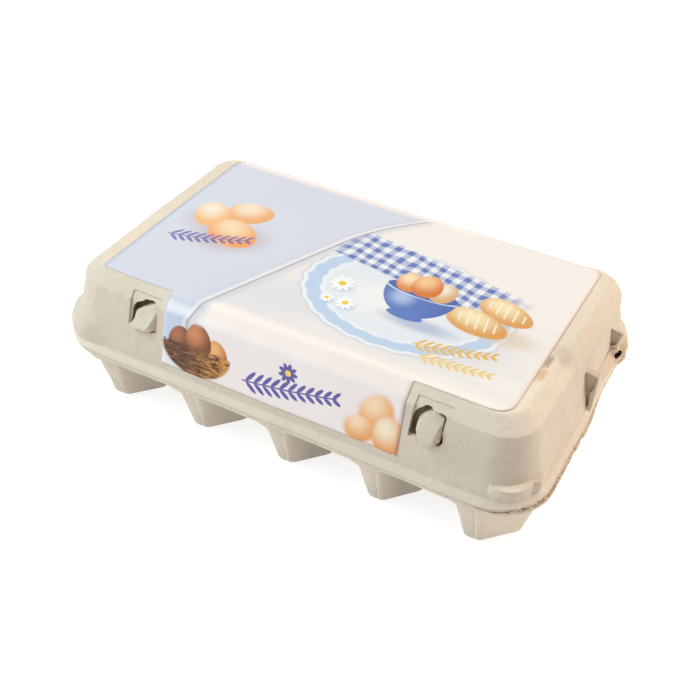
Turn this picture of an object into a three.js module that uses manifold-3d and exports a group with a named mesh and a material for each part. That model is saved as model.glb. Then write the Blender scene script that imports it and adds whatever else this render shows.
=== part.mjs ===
// Shut carton of moulded pulp for fifteen eggs, with a paper label over its lid.
// Millimetres, +Z up. +X runs along the long side and -Y is the front, where the lid
// latches. The origin is on the floor, below the middle of the carton.

import * as THREE from 'three';
import { mergeVertices } from 'three/addons/utils/BufferGeometryUtils.js';
import Module from 'manifold-3d';

const wasm = await Module();
wasm.setup();

// ---- driving dimensions -------------------------------------------------------------

const CELL_PITCH = 48.3;          // from egg to egg, both ways
const COLUMNS = 5;
const ROWS = 3;

const RIM_LENGTH = 252;           // outside of the lid's flange
const RIM_WIDTH = 153.2;
const RIM_RADIUS = 25.5;          // its corners, in plan
const CORNER_TIGHTENING = 0.9;    // how fast the corners tighten as the lid draws in

const SEAM_HEIGHT = 29.5;         // where tray and lid meet
const GAP = 0.3;                  // between touching pieces
const TRAY_FLANGE = 1.8;          // thickness of the tray's rim
const LID_SHIFT = -0.6;           // the shut lid sits a little to the left on the tray
const TRAY_SHIFT = 0.6;

const LIP_HEIGHT = 2.1;           // upright edge of the lid's flange
const WALL_FOOT = { inset: 3.3, height: 33.6 };
const WALL_CREASE = { inset: 9.3, height: 63.8 };
const TOP_EDGE = { inset: 16.2, height: 70.6 };
const LID_HEIGHT = 70.9;

const FRONT_LEDGE = { inset: 0.9, top: 40.6, end: -54 };   // ledges round the corners
const BACK_LEDGE = { inset: 1.7, top: 42.4, end: 6 };
const LEDGE_START = 106;          // on the long sides, from the middle

const RIB_TOP = 53.6;             // upright ribs on the two end walls
const RIB_LEAN = 3.4;             // how far a rib's top stays inside the rim
const RIB_ROOT = 13.3;            // how far inside the rim a rib starts
const RIBS = [{ from: 4.5, to: 8.7, inset: 1.2 }, { from: 41, to: 51, inset: 0 }];

const WINDOW_CENTRE = 74.2;       // latch windows, left and right of the lid's middle
const WINDOW_WIDTH = 14.8;
const WINDOW_BOTTOM = 51.2;
const WINDOW_TOP = 68.2;
const WINDOW_RECESS = 1.5;        // depth of the pressed panel
const HOLE_WIDTH = 13;            // opening torn through that panel
const HOLE_TOP = 64.4;
const HOLE_DEPTH = 9;

const LABEL_LEFT = -102.5;        // from the lid's middle
const LABEL_RIGHT = 105.5;
const LABEL_CORNER = 7;
const LABEL_THICKNESS = 0.4;
const FLAP_LEFT = -62;
const FLAP_RIGHT = 62;
const FLAP_BOTTOM = 37.5;

const ARC_STEPS = 8;              // segments in each rounded corner of the lid

// ---- solids -------------------------------------------------------------------------

// A closed skin through rings of equal point count, the lowest ring first.
function skin(rings) {
  const count = rings[0].length;
  const positions = [];
  for (const ring of rings) {
    for (const point of ring) positions.push(point.x, point.y, point.z);
  }
  const faces = [];
  for (let level = 0; level < rings.length - 1; level++) {
    for (let i = 0; i < count; i++) {
      const a = level * count + i;
      const b = level * count + (i + 1) % count;
      faces.push(a, b, b + count, a, b + count, a + count);
    }
  }
  const outline = rings[0].map((point) => new THREE.Vector2(point.x, point.y));
  const last = (rings.length - 1) * count;
  for (const [a, b, c] of THREE.ShapeUtils.triangulateShape(outline, [])) {
    faces.push(a, c, b, last + a, last + b, last + c);
  }
  const geometry = new THREE.BufferGeometry();
  geometry.setAttribute('position', new THREE.Float32BufferAttribute(positions, 3));
  geometry.setIndex(faces);
  return geometry;
}

function toSolid(geometry) {
  const bare = geometry.clone();
  bare.deleteAttribute('normal');
  bare.deleteAttribute('uv');
  const merged = mergeVertices(bare, 1e-4);
  const vertProperties = new Float32Array(merged.attributes.position.array);
  const triVerts = new Uint32Array(merged.index.array);
  return new wasm.Manifold(new wasm.Mesh({ numProp: 3, vertProperties, triVerts }));
}

function toGeometry(solid) {
  const { vertProperties, triVerts, numProp } = solid.getMesh();
  const positions = [];
  for (let i = 0; i < vertProperties.length; i += numProp) {
    positions.push(vertProperties[i], vertProperties[i + 1], vertProperties[i + 2]);
  }
  const geometry = new THREE.BufferGeometry();
  geometry.setAttribute('position', new THREE.Float32BufferAttribute(positions, 3));
  geometry.setIndex(Array.from(triVerts));
  geometry.computeVertexNormals();
  return geometry;
}

function union(solids) {
  return solids.reduce((joined, solid) => joined.add(solid));
}

// A box given by its lowest and highest corners.
function block(low, high) {
  const size = high.map((value, axis) => value - low[axis]);
  const geometry = new THREE.BoxGeometry(...size);
  geometry.translate(...low.map((value, axis) => value + size[axis] / 2));
  return toSolid(geometry);
}

// An outline of [y, z] points, drawn out along X between two places.
function prismAlongX(points, from, to) {
  const shape = new THREE.Shape(points.map(([y, z]) => new THREE.Vector2(y, z)));
  const geometry = new THREE.ExtrudeGeometry(shape, { depth: to - from, bevelEnabled: false });
  geometry.rotateX(Math.PI / 2);
  geometry.rotateZ(Math.PI / 2);
  geometry.translate(from, 0, 0);
  return toSolid(geometry);
}

// A rounded rectangle at one height, anticlockwise seen from above.
function roundedRing(halfX, halfY, radius, z) {
  const points = [];
  for (let corner = 0; corner < 4; corner++) {
    const sideX = corner === 0 || corner === 3 ? 1 : -1;
    const sideY = corner < 2 ? 1 : -1;
    for (let step = 0; step <= ARC_STEPS; step++) {
      const angle = (corner + step / ARC_STEPS) * Math.PI / 2;
      const x = sideX * (halfX - radius) + radius * Math.cos(angle);
      const y = sideY * (halfY - radius) + radius * Math.sin(angle);
      points.push(new THREE.Vector3(x, y, z));
    }
  }
  return points;
}

// The lid's plan outline, drawn in from the rim by an inset.
function lidRing(inset, z) {
  const radius = RIM_RADIUS - CORNER_TIGHTENING * inset;
  return roundedRing(RIM_LENGTH / 2 - inset, RIM_WIDTH / 2 - inset, radius, z);
}

// ---- tray ---------------------------------------------------------------------------

const FOOT_TOP = SEAM_HEIGHT - TRAY_FLANGE + 0.6;
const FOOT = {
  base: { inner: 17, end: 20.2, side: 19.6, flat: 4.6 },
  top: { inner: 24.2, end: 25.4, side: 26.8, flat: 6 },
};
const FEET_SHIFT = 0.9;           // from the middle of the rim to the middle foot
const FOOT_EDGE = [[0, 1.8], [0.8, 0.5], [2.4, 0]];   // rounded sole: height, inset

// An eight-sided ring whose four reaches differ, with a flat in the middle of each side
// and broad slanting faces across the corners.
function footRing(reach, flat, inset, z) {
  const right = reach.right - inset;
  const left = reach.left - inset;
  const back = reach.back - inset;
  const front = reach.front - inset;
  const outline = [
    [right, -flat], [right, flat], [flat, back], [-flat, back],
    [-left, flat], [-left, -flat], [-flat, -front], [flat, -front],
  ];
  return outline.map(([x, y]) => new THREE.Vector3(x, y, z));
}

// The four reaches of the foot in one column and row: the carton's outer walls are
// steeper than the walls between two feet, so outer feet reach further out.
function footReach(size, column, row) {
  return {
    left: column === 0 ? size.end : size.inner,
    right: column === COLUMNS - 1 ? size.end : size.inner,
    front: row === 0 ? size.side : size.inner,
    back: row === ROWS - 1 ? size.side : size.inner,
  };
}

function foot(column, row) {
  const soleReach = footReach(FOOT.base, column, row);
  const rings = FOOT_EDGE.map(([z, inset]) => footRing(soleReach, FOOT.base.flat, inset, z));
  rings.push(footRing(footReach(FOOT.top, column, row), FOOT.top.flat, 0, FOOT_TOP));
  const x = (column - (COLUMNS - 1) / 2) * CELL_PITCH + FEET_SHIFT;
  const y = (row - (ROWS - 1) / 2) * CELL_PITCH;
  return toSolid(skin(rings).translate(x, y, 0));
}

function tray() {
  const halfX = RIM_LENGTH / 2;
  const halfY = RIM_WIDTH / 2;
  const flange = skin([
    roundedRing(halfX - 0.5, halfY - 0.5, RIM_RADIUS - 0.5, SEAM_HEIGHT - TRAY_FLANGE),
    roundedRing(halfX, halfY, RIM_RADIUS, SEAM_HEIGHT - TRAY_FLANGE + 0.5),
    roundedRing(halfX, halfY, RIM_RADIUS, SEAM_HEIGHT),
  ]);
  const pieces = [toSolid(flange)];
  for (let column = 0; column < COLUMNS; column++) {
    for (let row = 0; row < ROWS; row++) pieces.push(foot(column, row));
  }
  return union(pieces);
}

// ---- lid ----------------------------------------------------------------------------

// How far the lid's wall stands in from the rim at a height.
function wallInset(z) {
  const share = (z - WALL_FOOT.height) / (WALL_CREASE.height - WALL_FOOT.height);
  return WALL_FOOT.inset + share * (WALL_CREASE.inset - WALL_FOOT.inset);
}

// Y of the lid's front wall at a height.
function wallY(z) {
  return wallInset(z) - RIM_WIDTH / 2;
}

// Section of the lid from its lip to the middle of its top: inset from the rim, height.
function lidSection() {
  const bottom = SEAM_HEIGHT + GAP;
  const path = new THREE.Path();
  path.moveTo(0, bottom);
  path.lineTo(0, bottom + LIP_HEIGHT - 0.4);
  path.lineTo(0.4, bottom + LIP_HEIGHT);
  const foot = WALL_FOOT;
  path.quadraticCurveTo(foot.inset - 0.3, foot.height - 1, foot.inset, foot.height + 0.6);
  const crease = WALL_CREASE;
  path.lineTo(wallInset(crease.height - 1.2), crease.height - 1.2);
  path.quadraticCurveTo(crease.inset, crease.height, crease.inset + 1, crease.height + 0.9);
  path.lineTo(TOP_EDGE.inset - 1.4, TOP_EDGE.height - 1.1);
  path.quadraticCurveTo(TOP_EDGE.inset, LID_HEIGHT, TOP_EDGE.inset + 2, LID_HEIGHT);
  return path.getPoints(3);
}

function lidShell() {
  const rings = lidSection().map(({ x, y }) => lidRing(x, y));
  return toSolid(skin(rings));
}

// A low ledge all round the lid, of which only the corners are kept.
function ledgeRing({ inset, top }) {
  return toSolid(skin([
    lidRing(Math.max(inset, 0.3), WALL_FOOT.height - 2.4),
    lidRing(inset, top - 0.9),
    lidRing(inset + 0.8, top),
  ]));
}

function cornerLedges() {
  const farX = RIM_LENGTH;
  const farY = RIM_WIDTH;
  const front = ledgeRing(FRONT_LEDGE).subtract(
    block([-farX, FRONT_LEDGE.end, 0], [farX, farY, LID_HEIGHT]));
  const back = ledgeRing(BACK_LEDGE).subtract(
    block([-farX, -farY, 0], [farX, BACK_LEDGE.end, LID_HEIGHT]));
  return front.add(back).subtract(
    block([-LEDGE_START, -farY, 0], [LEDGE_START, farY, LID_HEIGHT]));
}

// One rib seen from above at a height: its outer corners are rounded off a little.
function ribRing({ from, to }, inset, z) {
  const root = RIM_LENGTH / 2 - RIB_ROOT;
  const outer = RIM_LENGTH / 2 - inset;
  const outline = [[root, from], [outer - 0.6, from], [outer, from + 0.6],
    [outer, to - 1], [outer - 1, to], [root, to]];
  return outline.map(([x, y]) => new THREE.Vector3(x, y, z));
}

// Upright ribs on both end walls, which lean in at their tops.
function endRibs() {
  const ribs = RIBS.map((rib) => toSolid(skin([
    ribRing(rib, 1.6, SEAM_HEIGHT + GAP + 1),
    ribRing(rib, rib.inset, BACK_LEDGE.top - 1.5),
    ribRing(rib, RIB_LEAN - 0.8, RIB_TOP - 2),
    ribRing(rib, RIB_LEAN, RIB_TOP),
  ])));
  return union([...ribs, ...ribs.map((rib) => rib.mirror([1, 0, 0]))]);
}

// Hollow for one latch: a pressed panel and the torn hole behind it.
function latchWindow(centre) {
  const front = -RIM_WIDTH;
  const half = WINDOW_WIDTH / 2;
  const panel = prismAlongX([
    [front, WINDOW_BOTTOM], [wallY(WINDOW_BOTTOM) + WINDOW_RECESS, WINDOW_BOTTOM],
    [wallY(WINDOW_TOP) + WINDOW_RECESS, WINDOW_TOP - 1.6],
    [wallY(WINDOW_TOP) + WINDOW_RECESS, WINDOW_TOP], [front, WINDOW_TOP],
  ], centre - half, centre + half);
  const arch = new THREE.Shape();
  arch.moveTo(-HOLE_WIDTH / 2, WINDOW_BOTTOM);
  arch.lineTo(HOLE_WIDTH / 2, WINDOW_BOTTOM);
  arch.lineTo(HOLE_WIDTH / 2, HOLE_TOP - 4);
  arch.quadraticCurveTo(HOLE_WIDTH / 2 - 1, HOLE_TOP, 0, HOLE_TOP);
  arch.quadraticCurveTo(1 - HOLE_WIDTH / 2, HOLE_TOP, -HOLE_WIDTH / 2, HOLE_TOP - 4);
  const depth = RIM_WIDTH / 2;
  const hole = new THREE.ExtrudeGeometry(arch, { depth, bevelEnabled: false, curveSegments: 4 });
  hole.rotateX(Math.PI / 2);
  hole.translate(centre, wallY(WINDOW_BOTTOM) + HOLE_DEPTH, 0);
  return panel.add(toSolid(hole));
}

function lid() {
  const body = union([lidShell(), cornerLedges(), endRibs()]);
  return body.subtract(latchWindow(-WINDOW_CENTRE)).subtract(latchWindow(WINDOW_CENTRE));
}

// ---- latches ------------------------------------------------------------------------

// One lock button: a wedge whose top slopes out and down to a nose over the hole's edge.
function latch() {
  const wall = wallY(WINDOW_BOTTOM);
  const back = wall + HOLE_DEPTH - GAP;
  const half = HOLE_WIDTH / 2 - 1.1;
  const floor = WINDOW_BOTTOM + GAP;
  const side = [
    [back, floor], [wall - GAP, floor], [wallY(floor - 1.8) - GAP, floor - 1.8],
    [wall - 2.4, floor - 1.4], [wall - 3.4, floor + 0.4], [wall - 3.2, floor + 2.2],
    [wall + 0.6, HOLE_TOP - 4.4], [wall + 3.2, HOLE_TOP - 2.6], [back, HOLE_TOP - 2.2],
  ];
  const wedge = prismAlongX(side, -half, half);
  const taper = new THREE.Shape([
    new THREE.Vector2(-half, back), new THREE.Vector2(-half + 0.2, wall + 1),
    new THREE.Vector2(-half + 1.6, wall - 4), new THREE.Vector2(half - 1.6, wall - 4),
    new THREE.Vector2(half - 0.2, wall + 1), new THREE.Vector2(half, back),
  ]);
  const plan = new THREE.ExtrudeGeometry(taper, { depth: LID_HEIGHT, bevelEnabled: false });
  return wedge.intersect(toSolid(plan));
}

// ---- label --------------------------------------------------------------------------

// The label's run over the lid, from the front flap's end across to the back flap's end.
function labelRun(offset) {
  const halfWidth = RIM_WIDTH / 2;
  const side = [
    [halfWidth - wallInset(FLAP_BOTTOM) + offset, FLAP_BOTTOM],
    [halfWidth - WALL_CREASE.inset + offset, WALL_CREASE.height + offset * 0.4],
    [halfWidth - TOP_EDGE.inset + offset * 0.4, LID_HEIGHT + offset],
  ];
  const front = side.map(([y, z]) => [-y, z]);
  return [...front, ...side.reverse()];
}

function label() {
  const inner = labelRun(GAP);
  const outer = labelRun(GAP + LABEL_THICKNESS).reverse();
  const ribbon = prismAlongX([...inner, ...outer], LABEL_LEFT - 1, LABEL_RIGHT + 1);
  const halfTop = RIM_WIDTH / 2 - TOP_EDGE.inset + GAP;
  const middle = (LABEL_LEFT + LABEL_RIGHT) / 2;
  const halfLength = (LABEL_RIGHT - LABEL_LEFT) / 2;
  const sheet = skin([
    roundedRing(halfLength, halfTop, LABEL_CORNER, 0),
    roundedRing(halfLength, halfTop, LABEL_CORNER, 2 * LID_HEIGHT),
  ]).translate(middle, 0, 0);
  const flaps = block([FLAP_LEFT, -RIM_WIDTH, 0], [FLAP_RIGHT, RIM_WIDTH, 2 * LID_HEIGHT]);
  return ribbon.intersect(toSolid(sheet).add(flaps));
}

// ---- the carton ---------------------------------------------------------------------

const PULP = new THREE.Color(0.80, 0.76, 0.67);
const PAPER = new THREE.Color(0.92, 0.91, 0.91);

function piece(name, solid, color, roughness) {
  const material = new THREE.MeshStandardMaterial({ color, roughness, metalness: 0 });
  const mesh = new THREE.Mesh(toGeometry(solid), material);
  mesh.name = name;
  return mesh;
}

const carton = new THREE.Group();

const lower = new THREE.Group();
lower.position.x = TRAY_SHIFT;
lower.add(piece('tray', tray(), PULP, 0.95));
carton.add(lower);

const upper = new THREE.Group();
upper.position.x = LID_SHIFT;
upper.add(piece('lid', lid(), PULP, 0.95));
upper.add(piece('label', label(), PAPER, 0.45));
for (const [name, x] of [['latch_left', -WINDOW_CENTRE], ['latch_right', WINDOW_CENTRE]]) {
  const button = piece(name, latch(), PULP, 0.95);
  button.position.x = x;
  upper.add(button);
}
carton.add(upper);

export default carton;
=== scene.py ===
import math
from functools import partialmethod

import bmesh
import bpy
import numpy as np
from mathutils import Matrix, Vector, noise


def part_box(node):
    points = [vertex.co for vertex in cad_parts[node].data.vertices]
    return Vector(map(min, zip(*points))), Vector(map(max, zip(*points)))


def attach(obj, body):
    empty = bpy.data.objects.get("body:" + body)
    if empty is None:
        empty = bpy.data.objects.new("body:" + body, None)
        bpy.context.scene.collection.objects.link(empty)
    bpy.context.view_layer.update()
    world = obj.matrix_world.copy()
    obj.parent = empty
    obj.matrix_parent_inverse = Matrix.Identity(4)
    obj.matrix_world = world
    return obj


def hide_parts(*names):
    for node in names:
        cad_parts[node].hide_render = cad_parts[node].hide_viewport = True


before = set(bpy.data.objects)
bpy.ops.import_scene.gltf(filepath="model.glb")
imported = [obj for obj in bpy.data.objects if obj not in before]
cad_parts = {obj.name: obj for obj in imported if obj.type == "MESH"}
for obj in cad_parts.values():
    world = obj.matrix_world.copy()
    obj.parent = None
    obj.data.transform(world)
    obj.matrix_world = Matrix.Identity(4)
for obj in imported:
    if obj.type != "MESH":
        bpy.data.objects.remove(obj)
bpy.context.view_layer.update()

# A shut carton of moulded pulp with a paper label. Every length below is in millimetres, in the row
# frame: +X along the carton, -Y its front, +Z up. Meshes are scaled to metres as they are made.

MM = 0.001
noise.seed_set(7)  # noise_vector is different in every run without it


def box_mm(node):
    """Lowest and highest corner of a CAD node."""
    low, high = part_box(node)
    return np.array(low) / MM, np.array(high) / MM


# ---- sizes ----

LID_LOW, LID_HIGH = box_mm("lid")
TRAY_LOW, TRAY_HIGH = box_mm("tray")
LID_MIDDLE = (LID_LOW[0] + LID_HIGH[0]) / 2
TRAY_MIDDLE = (TRAY_LOW[0] + TRAY_HIGH[0]) / 2
HALF_X = 126.0  # the rim's outside, from the middle of its own moulding
HALF_Y = 76.6
RIM_RADIUS = 25.5
CORE = np.array([HALF_X - RIM_RADIUS, HALF_Y - RIM_RADIUS])  # middle of a corner's arc
TIGHTENING = 0.9  # how fast the corners tighten as the lid draws in
SEAM = TRAY_HIGH[2]
LID_EDGE = SEAM + 0.12
LID_TOP = LID_HIGH[2]

FLANGE = (3.3, 34.0)  # inset from the rim and height of the wall's foot
CREASE = (9.3, 63.8)  # of the crease between wall and bevel
TOP_EDGE = (16.2, 70.75)  # of the crease between bevel and top
RIM_SLOPE = (0.5, 31.9)  # of a place half way up the rim, where ledges and ribs begin
WALL_SLOPE = (CREASE[0] - FLANGE[0]) / (CREASE[1] - FLANGE[1])
BAND_TOP = 57.0  # height above which nothing stands out from the wall

PITCH = 48.3  # of the egg cells
FEET_SHIFT = 0.9  # of the feet along the tray
COLUMNS, ROWS = 5, 3

LABEL_LEFT, LABEL_RIGHT = -102.5, 105.5  # from the lid's middle
LABEL_CORNERS = {"front": (3.0, 8.0), "back": (7.0, 5.0)}  # radii at the left and right
FLAP_HALF = 62.0
FLAP_BOTTOM = 37.5
SIDE_POINTS, FLAP_POINTS = 14, 64  # along the label beside its flaps, and along a flap
LABEL_GAP = 0.12
LABEL_THICKNESS = 0.2

# Sizes and amounts of each moulding's unevenness, of the rims' waves and of their frayed bits.
LID_ROUGH = [(34, 0.4), (9, 0.16), (3.4, 0.06)]
TRAY_ROUGH = [(26, 0.5), (8, 0.28), (2.6, 0.07)]
BUTTON_ROUGH = [(5, 0.22), (1.6, 0.1)]
RIM_WAVES = [(21.0, 0.4), (5.0, 0.16)]
FRAY_BITS = [(2.0, 1.0), (0.9, 0.7)]
LID_BAY, TRAY_BAY = 1.5, 2.8  # how far each rim's right end is pressed in


# ---- meshes ----

def add(name, data):
    """A new object in the scene."""
    obj = bpy.data.objects.new(name, data)
    bpy.context.scene.collection.objects.link(obj)
    return obj


def make_object(name, points, faces, smooth_angle=50):
    """An object at the origin from points in millimetres."""
    mesh = bpy.data.meshes.new(name)
    mesh.from_pydata([tuple(p) for p in np.asarray(points) * MM], [], [tuple(f) for f in faces])
    mesh.validate()
    obj = add(name, mesh)
    tidy(obj, smooth_angle)
    return obj


def tidy(obj, smooth_angle=50):
    """No slivers; faces point outwards and are smooth, with sharp edges beyond an angle."""
    bm = bmesh.new()
    bm.from_mesh(obj.data)
    bmesh.ops.dissolve_degenerate(bm, dist=0.002 * MM, edges=bm.edges)
    bmesh.ops.recalc_face_normals(bm, faces=bm.faces)
    bm.to_mesh(obj.data)
    bm.free()
    for polygon in obj.data.polygons:
        polygon.use_smooth = True
    obj.data.set_sharp_from_angle(angle=math.radians(smooth_angle))


def apply_modifiers(obj):
    """The modifiers' result becomes the object's own mesh."""
    depsgraph = bpy.context.evaluated_depsgraph_get()
    mesh = bpy.data.meshes.new_from_object(obj.evaluated_get(depsgraph))
    obj.modifiers.clear()
    obj.data = mesh


def cut(obj, cutter):
    """Takes the cutter out of the object, and deletes the cutter."""
    modifier = obj.modifiers.new("cut", "BOOLEAN")
    modifier.operation = "DIFFERENCE"
    modifier.solver = "MANIFOLD"
    modifier.object = cutter
    apply_modifiers(obj)
    bpy.data.objects.remove(cutter)


def size(vectors):
    """Length of a vector, or of each row."""
    return np.linalg.norm(vectors, axis=-1)


def arc(start, corner, end, count):
    """Points of a smooth curve that cuts a corner."""
    return [(1 - t) ** 2 * start + 2 * t * (1 - t) * corner + t ** 2 * end for t in np.linspace(0, 1, count)]


def rounded_path(points, radii, step):
    """Points about a step apart along a polyline with rounded inner corners."""
    points = np.array(points, float)
    path = [points[0]]
    for before, corner, after, radius in zip(points, points[1:], points[2:], radii):
        a, b = (before - corner) / size(before - corner), (after - corner) / size(after - corner)
        half = math.acos(np.clip(a @ b, -1, 1)) / 2
        reach = min(radius / math.tan(half), 0.45 * size(before - corner), 0.45 * size(after - corner))
        length = reach * math.tan(half) * (math.pi - 2 * half)
        path += arc(corner + a * reach, corner, corner + b * reach, max(3, math.ceil(length / step) + 1))
    path.append(points[-1])
    dense = [path[0]]
    for p in path[1:]:
        last, gap = dense[-1], size(p - dense[-1])
        if gap >= 1e-6:
            count = math.ceil(gap / step)
            dense += [last + (p - last) * k / count for k in range(1, count + 1)]
    return np.array(dense)


def resample(path, count, corners=()):
    """A path's points at even distances, several times closer near its corners."""
    steps = size(np.diff(path, axis=0))
    middles = (path[1:] + path[:-1]) / 2
    crowd = 1 + sum(5 * np.exp(-(size(middles - corner) / 0.7) ** 2) for corner in corners)
    lengths = np.concatenate([[0], np.cumsum(steps * crowd)])
    at = np.linspace(0, lengths[-1], count)
    return np.stack([np.interp(at, lengths, values) for values in path.T], axis=1)


def belt(first, second, count):
    """Quads between two rings of points, by the number of each ring's first point."""
    pairs = [(i, (i + 1) % count) for i in range(count)]
    return [(first + i, first + j, second + j, second + i) for i, j in pairs]


def smoothstep(low, high, x):
    t = np.clip((x - low) / (high - low), 0, 1)
    return t * t * (3 - 2 * t)


def plateau(foot, top, edge, end, x):
    """Rises from 0 to 1 between foot and top, and falls back to 0 between edge and end."""
    return smoothstep(foot, top, x) * (1 - smoothstep(edge, end, x))


def positions(start, end, coarse, fine, marks, reach=1.4):
    """Places from start to end, close together near the marks."""
    direction = 1 if end > start else -1
    places = [start]
    while direction * (end - places[-1]) > 1e-6:
        here = places[-1]
        near = min((abs(here + direction * fine - mark) for mark in marks), default=math.inf)
        step = fine if near < reach else min(coarse, max(fine, (near - reach) * 0.6 + fine))
        places.append(here + direction * step)
    places[-1] = end
    return places


def roughen(points, strengths, seed):
    """Points moved by soft noise of some sizes and amounts."""
    moved = points.copy()
    for k, (length, amount) in enumerate(strengths):
        offset = Vector((seed * 7.3 + k * 11.1, seed * 3.7, k * 5.9))
        shift = np.array([noise.noise_vector(Vector(p) / length + offset) for p in points])
        moved += shift * amount
    return moved


# ---- lid ----

RIBS = [(4.5, 8.7), (41, 51)]  # y from and to
BAND_RINGS, TOP_RINGS = 56, 32  # of the skin's rings on the wall, and on the bevel and the top
# How far in from the rim the edges of the front right ledge and the front left bulge stand, by
# the angle about their corners.
LEDGE_REACH = np.array([(-75, 3), (-70, 2), (-64, 1.2), (-57, 0.8), (-51, 0.5), (-45, 0.7),
    (-38, 1.2), (-31, 2.1), (-25.5, 2.8), (-24, 2.4), (-18, 0.6), (-12, 1.4), (-9.5, 1.8)])
LEFT_REACH = np.array([(-100, 2.4), (-75, 0.8), (-55, 0), (-20, 0.1), (0, 1.2), (12, 2.5)])


def wall_inset(z):
    """How far the lid's wall stands in from the rim at a height."""
    return FLANGE[0] + (z - FLANGE[1]) * WALL_SLOPE


def wall_y(z):
    """Y of the lid's front wall at a height."""
    return wall_inset(z) - HALF_Y


def warp(points, bay):
    """The rim's waves, and the bay by which its right end is pressed in."""
    moved = points.copy()
    x, y, z = points.T
    near = np.exp(-((z - SEAM) / 5) ** 2) * np.where(z < 1, 0, 1)
    for length, amount in RIM_WAVES:
        wave = [noise.noise_vector(Vector((px / length, py / length, length))) for px, py in points[:, :2]]
        moved += np.array(wave) * (amount * near)[:, None]
    moved[:, 0] -= bay * smoothstep(104, 122, x) * plateau(-4, 30, 46, 60, y) * plateau(8, 26, 32, 40, z)
    return moved


def lid_columns():
    """Place on the rim of every column of the lid's skin, and how it moves as the inset grows."""
    marks = [y for rib in RIBS for y in rib] + [7]
    right = positions(-CORE[1], CORE[1], 0.9, 0.22, marks)
    left = positions(-CORE[1], CORE[1], 2, 0.3, marks)[::-1]
    front = positions(-CORE[0], CORE[0], 1.8, 0.5, [])
    turn = np.linspace(0, math.pi / 2, 64)[1:-1]
    sides = [[(HALF_X, y) for y in right], [(-x, HALF_Y) for x in front],
             [(-HALF_X, y) for y in left], [(x, -HALF_Y) for x in front]]
    rim, drift = [], []
    for quarter, inward in enumerate(np.array([(-1, 0), (0, -1), (1, 0), (0, 1)])):
        rim += sides[quarter]
        along = 1 - np.abs(inward)
        drift += [inward - (1 - TIGHTENING) * along * place / CORE for place in sides[quarter]]
        middle = CORE * ((1, 1), (-1, 1), (-1, -1), (1, -1))[quarter]
        for a in turn + quarter * math.pi / 2:
            out = np.array([math.cos(a), math.sin(a)])
            rim.append(middle + RIM_RADIUS * out)
            drift.append(-(1 - TIGHTENING) * np.sign(middle) - TIGHTENING * out)
    return np.array(rim), np.array(drift)


def band(points, radii):
    """A section of the lid between rim and plain wall, through corners of inset and height."""
    corners = [RIM_SLOPE] + points + [(wall_inset(BAND_TOP), BAND_TOP)]
    return resample(rounded_path(corners, radii, 0.08), BAND_RINGS, np.array(corners[1:-1]))


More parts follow.
